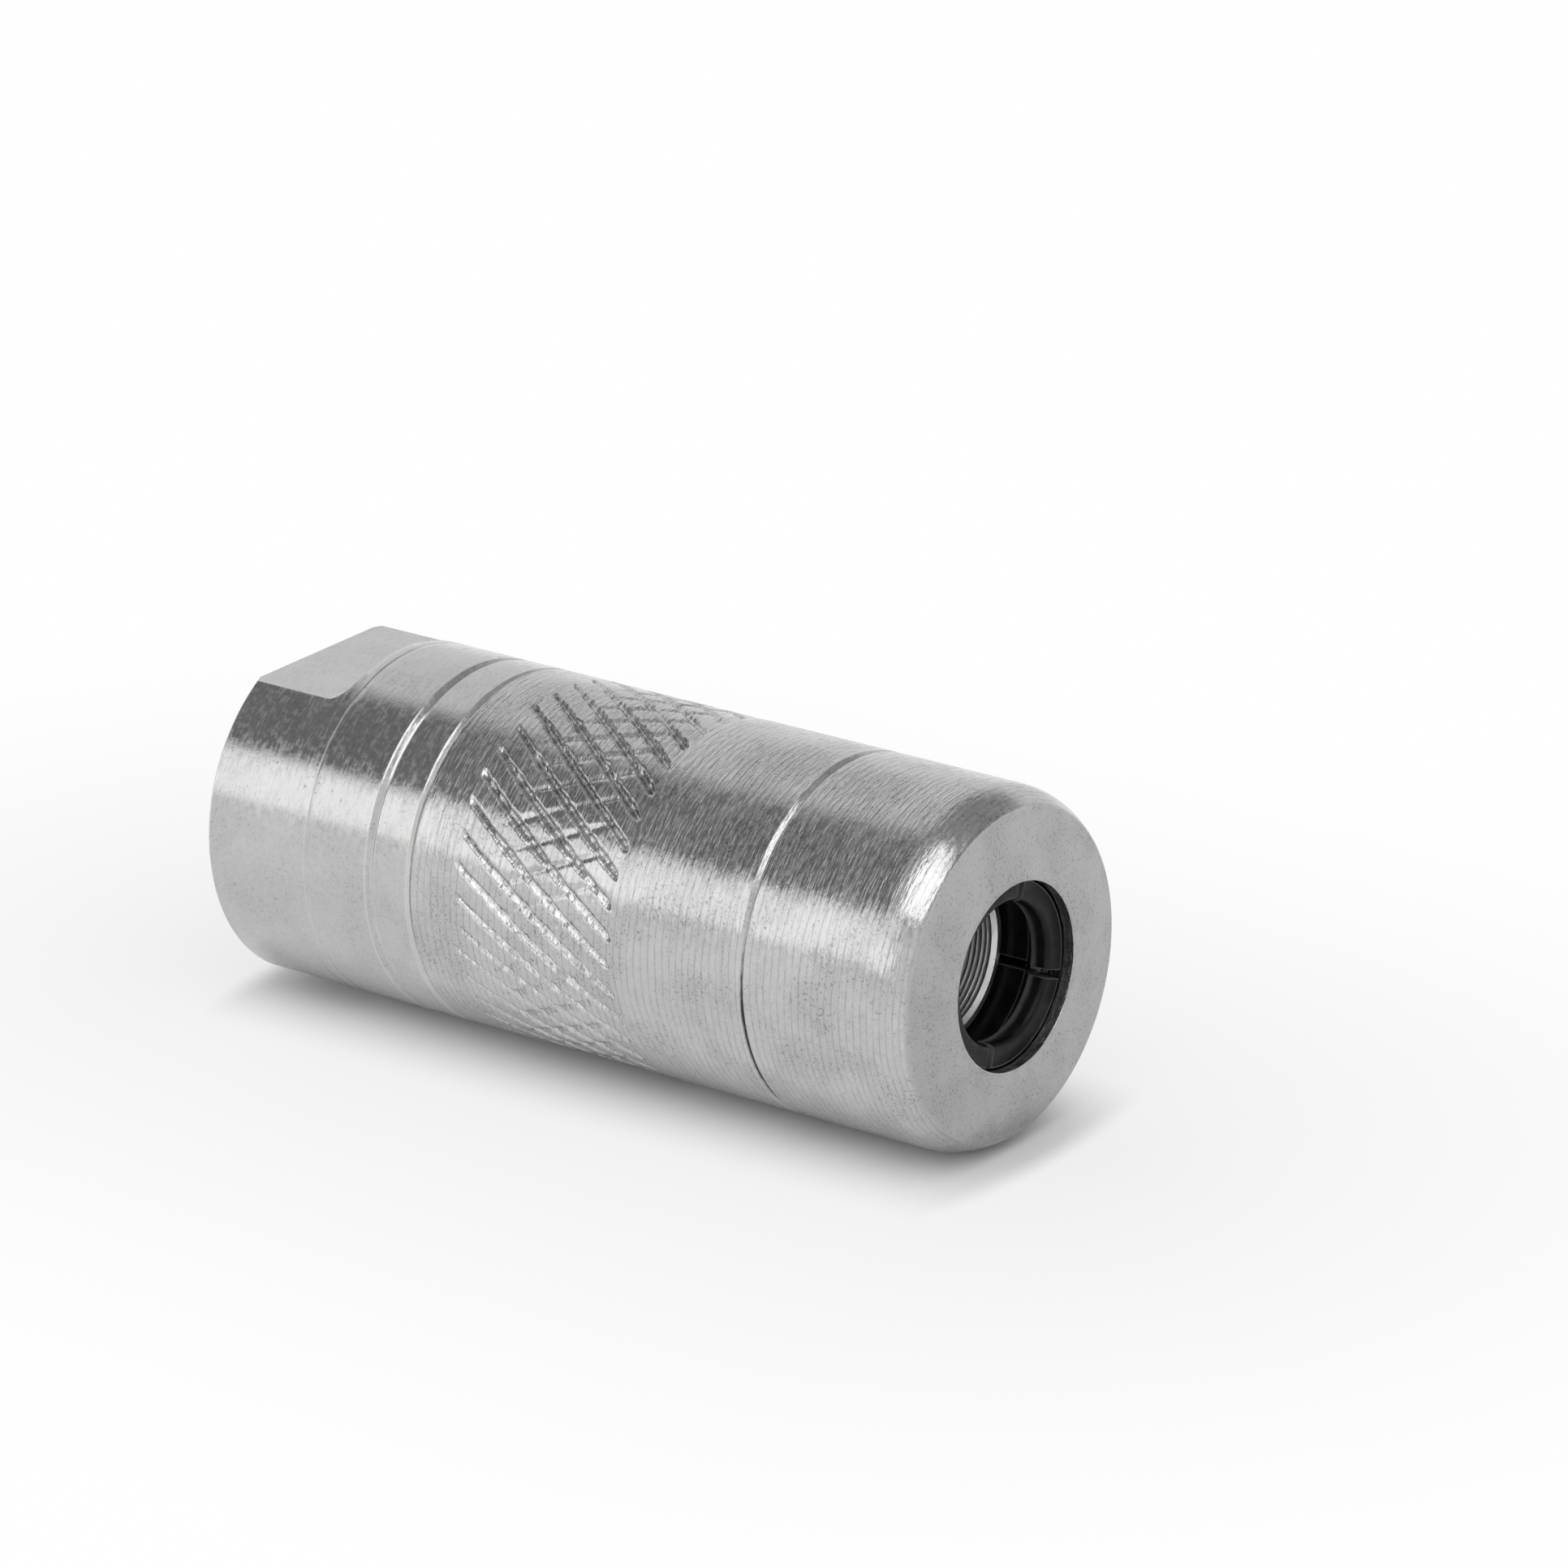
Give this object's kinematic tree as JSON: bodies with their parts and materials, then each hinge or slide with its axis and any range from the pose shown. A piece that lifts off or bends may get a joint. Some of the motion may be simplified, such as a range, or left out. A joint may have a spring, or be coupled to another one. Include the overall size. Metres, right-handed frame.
{
  "type": "grease coupler",
  "caption": "Knurled cylindrical grease coupler with spring-loaded gripping jaws in its nose, a sealed check valve, a threaded hose port and wrench flats.",
  "frame": {"origin": "centre of the hose port's mouth, on the rear face", "axes": "+X along the axis from the hose port to the nose, +Z out of the upper wrench flat"},
  "size_m": [0.036, 0.015, 0.015],
  "materials": {
    "zinc_steel": "turned, then bright zinc plated",
    "black_steel": "hardened, black oxide",
    "bright_steel": "turned, plated",
    "spring_steel": "drawn wire",
    "bearing_steel": "polished",
    "brass": "stamped",
    "nitrile": "moulded"
  },
  "bodies": {
    "housing": {"rear_body": "zinc_steel", "sleeve": "zinc_steel", "main_spring": "spring_steel", "check_spring": "spring_steel", "check_retainer": "brass"},
    "plunger": {"seal_holder": "bright_steel", "face_seal": "nitrile", "stem_o_ring": "nitrile", "jaw_washer": "zinc_steel", "jaw_ring": "spring_steel"},
    "jaw_1": {"jaw_1": "black_steel"},
    "jaw_2": {"jaw_2": "black_steel"},
    "jaw_3": {"jaw_3": "black_steel"},
    "jaw_4": {"jaw_4": "black_steel"},
    "check_ball": {"check_ball": "bearing_steel"}
  },
  "joints": [
    {"name": "plunger_slide", "type": "slide", "parent": "housing", "child": "plunger", "axis": [-1, 0, 0], "range_m": [0, 0.0018], "stiffness_N_per_m": 1500, "deforming": ["main_spring", "jaw_ring"]},
    {"name": "jaw_1_slide", "type": "slide", "parent": "housing", "child": "jaw_1", "axis": [-0.9397, 0.3074, 0.1499], "range_m": [0, 0.00192]},
    {"name": "jaw_2_slide", "type": "slide", "parent": "housing", "child": "jaw_2", "axis": [-0.9397, -0.1499, 0.3074], "range_m": [0, 0.00192]},
    {"name": "jaw_3_slide", "type": "slide", "parent": "housing", "child": "jaw_3", "axis": [-0.9397, -0.3074, -0.1499], "range_m": [0, 0.00192]},
    {"name": "jaw_4_slide", "type": "slide", "parent": "housing", "child": "jaw_4", "axis": [-0.9397, 0.1499, -0.3074], "range_m": [0, 0.00192]},
    {"name": "check_ball_lift", "type": "slide", "parent": "housing", "child": "check_ball", "axis": [1, 0, 0], "range_m": [0, 0.001], "stiffness_N_per_m": 60, "deforming": ["check_spring"]}
  ],
  "couplings": [
    {"joint": "jaw_1_slide", "follows": "plunger_slide", "ratio": 1.0642},
    {"joint": "jaw_2_slide", "follows": "plunger_slide", "ratio": 1.0642},
    {"joint": "jaw_3_slide", "follows": "plunger_slide", "ratio": 1.0642},
    {"joint": "jaw_4_slide", "follows": "plunger_slide", "ratio": 1.0642}
  ]
}
